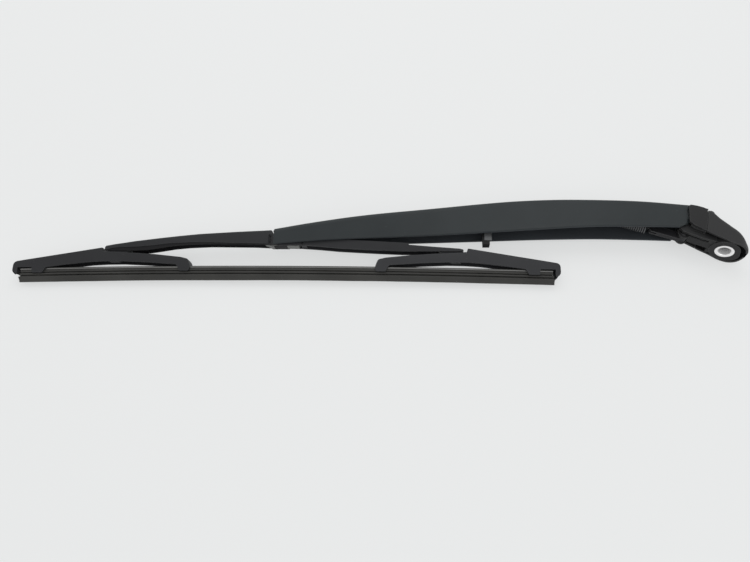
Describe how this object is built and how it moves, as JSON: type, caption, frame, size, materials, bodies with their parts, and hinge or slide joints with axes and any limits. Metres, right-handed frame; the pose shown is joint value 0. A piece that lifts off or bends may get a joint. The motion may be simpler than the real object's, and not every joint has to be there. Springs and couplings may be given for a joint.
{
  "type": "wiper arm",
  "caption": "Rear-window wiper arm with hinged, sprung head, flip-up nut cover and a narrow bridge-and-claw blade in black.",
  "frame": {"origin": "centre of the spindle bore on the glass-side face of the insert", "axes": "+Y along the bore, away from the glass; the arm runs toward -X; +Z is the sweep direction, up as the part lies on its side"},
  "size_m": [0.4591, 0.1917, 0.0218],
  "materials": {
    "painted_arm": "matte",
    "cast_head": "matte",
    "black_plastic": "satin",
    "bright_metal": "satin",
    "pin_steel": "satin",
    "bush_plastic": "satin",
    "spring_steel": "satin",
    "grey_plastic": "matte",
    "lever_plastic": "matte",
    "rubber": "matte"
  },
  "bodies": {
    "head": {"arm_head": "cast_head", "spindle_insert": "bright_metal", "hinge_pin": "pin_steel", "link_pin": "pin_steel", "cover_pin": "pin_steel"},
    "cover": {"nut_cover": "black_plastic"},
    "arm": {"arm_channel": "painted_arm", "hinge_bracket": "painted_arm", "hinge_bushes": "bush_plastic", "spring_anchor_pin": "pin_steel", "tension_spring": "spring_steel", "rest_peg": "grey_plastic", "peg_tip": "rubber", "blade_adapter": "grey_plastic"},
    "link": {"spring_link": "spring_steel"},
    "blade": {"blade_bridge": "lever_plastic", "bridge_pin": "pin_steel", "wiper_rubber": "rubber", "near_spline": "spring_steel", "far_spline": "spring_steel"},
    "outer_claws": {"outer_lever": "lever_plastic", "outer_lever_pin": "pin_steel"},
    "inner_claws": {"inner_lever": "lever_plastic", "inner_lever_pin": "pin_steel"}
  },
  "joints": [
    {"name": "arm_lift", "type": "hinge", "parent": "head", "child": "arm", "pos_m": [-0.0215, 0.0185, 0], "axis": [0, 0, -1], "range_deg": [0, 70], "stiffness_Nm_per_rad": 0.5, "springref_deg": -68.75, "deforming": ["tension_spring"]},
    {"name": "cover_flip", "type": "hinge", "parent": "head", "child": "cover", "pos_m": [-0.0131, 0.0216, 0], "axis": [0, 0, 1], "range_deg": [0, 80]},
    {"name": "link_swing", "type": "hinge", "parent": "head", "child": "link", "pos_m": [-0.027, 0.0031, 0], "axis": [0, 0, -1], "range_deg": [0, 69]},
    {"name": "blade_tilt", "type": "hinge", "parent": "arm", "child": "blade", "pos_m": [-0.27754, -0.08215, 0], "axis": [0.0806, -0.246, 0.9659], "range_deg": [-9, 0.8]},
    {"name": "outer_rock", "type": "hinge", "parent": "blade", "child": "outer_claws", "pos_m": [-0.38393, -0.13001, -0.00331], "axis": [0.0806, -0.246, 0.9659], "range_deg": [-1.5, 1.5], "deforming": ["wiper_rubber", "near_spline", "far_spline"]},
    {"name": "inner_rock", "type": "hinge", "parent": "blade", "child": "inner_claws", "pos_m": [-0.16346, -0.05778, -0.00331], "axis": [0.0806, -0.246, 0.9659], "range_deg": [-1.5, 1.5], "deforming": ["wiper_rubber", "near_spline", "far_spline"]}
  ],
  "couplings": [
    {"joint": "link_swing", "follows": "arm_lift", "ratio": 0.97}
  ]
}
